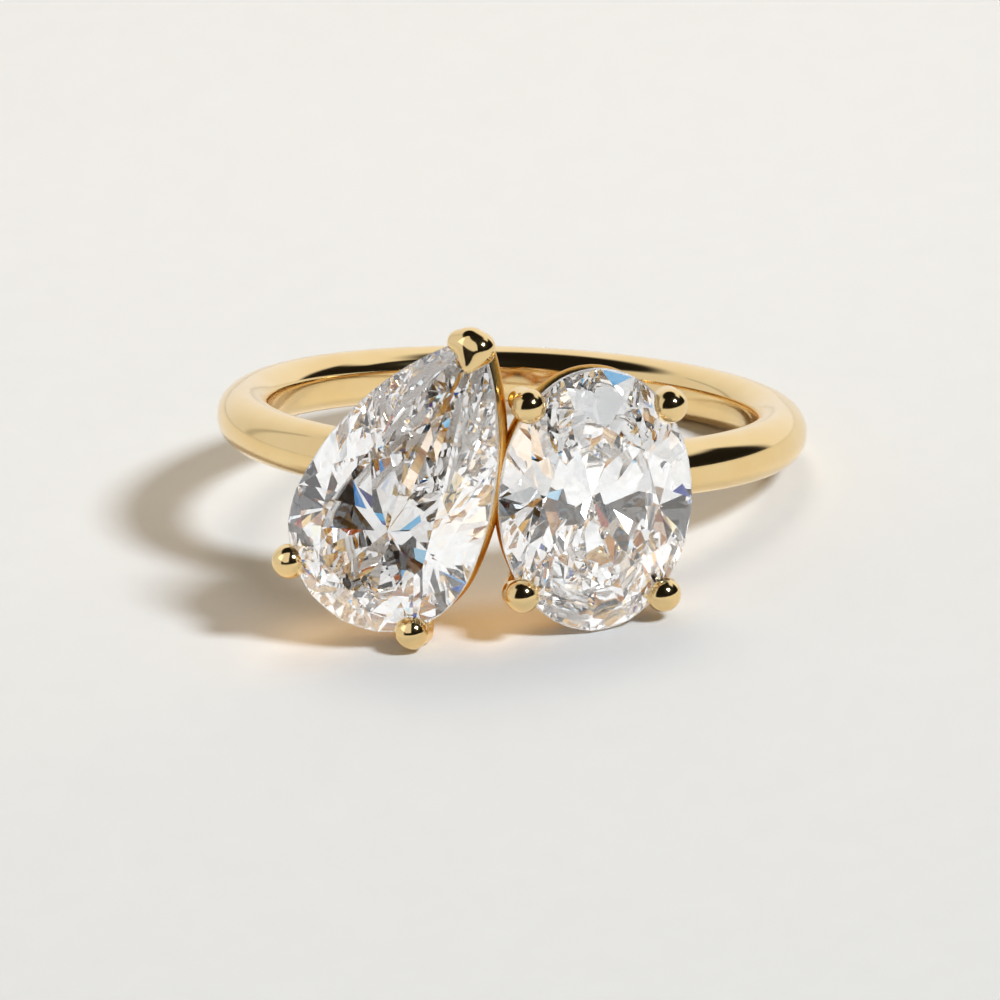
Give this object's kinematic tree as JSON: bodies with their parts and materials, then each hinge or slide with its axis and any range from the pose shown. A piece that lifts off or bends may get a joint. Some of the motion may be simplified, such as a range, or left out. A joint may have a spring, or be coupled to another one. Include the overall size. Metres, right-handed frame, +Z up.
{
  "type": "toi et moi ring",
  "caption": "Ring with a plain round band and two prong baskets side by side, which hold a pear and an oval brilliant-cut stone.",
  "frame": {"origin": "middle of the finger hole, on its axis", "axes": "+Z up as the ring lies on its side, with the finger hole's axis tilted from it; the stones face -Y, and the pear is at -X"},
  "size_m": [0.02, 0.0245, 0.0109],
  "materials": {
    "gold": "polished",
    "pear_diamond": "polished facets",
    "oval_diamond": "polished facets"
  },
  "bodies": {
    "root": {"mounting": "gold", "pear_diamond": "pear_diamond", "oval_diamond": "oval_diamond"}
  },
  "joints": []
}
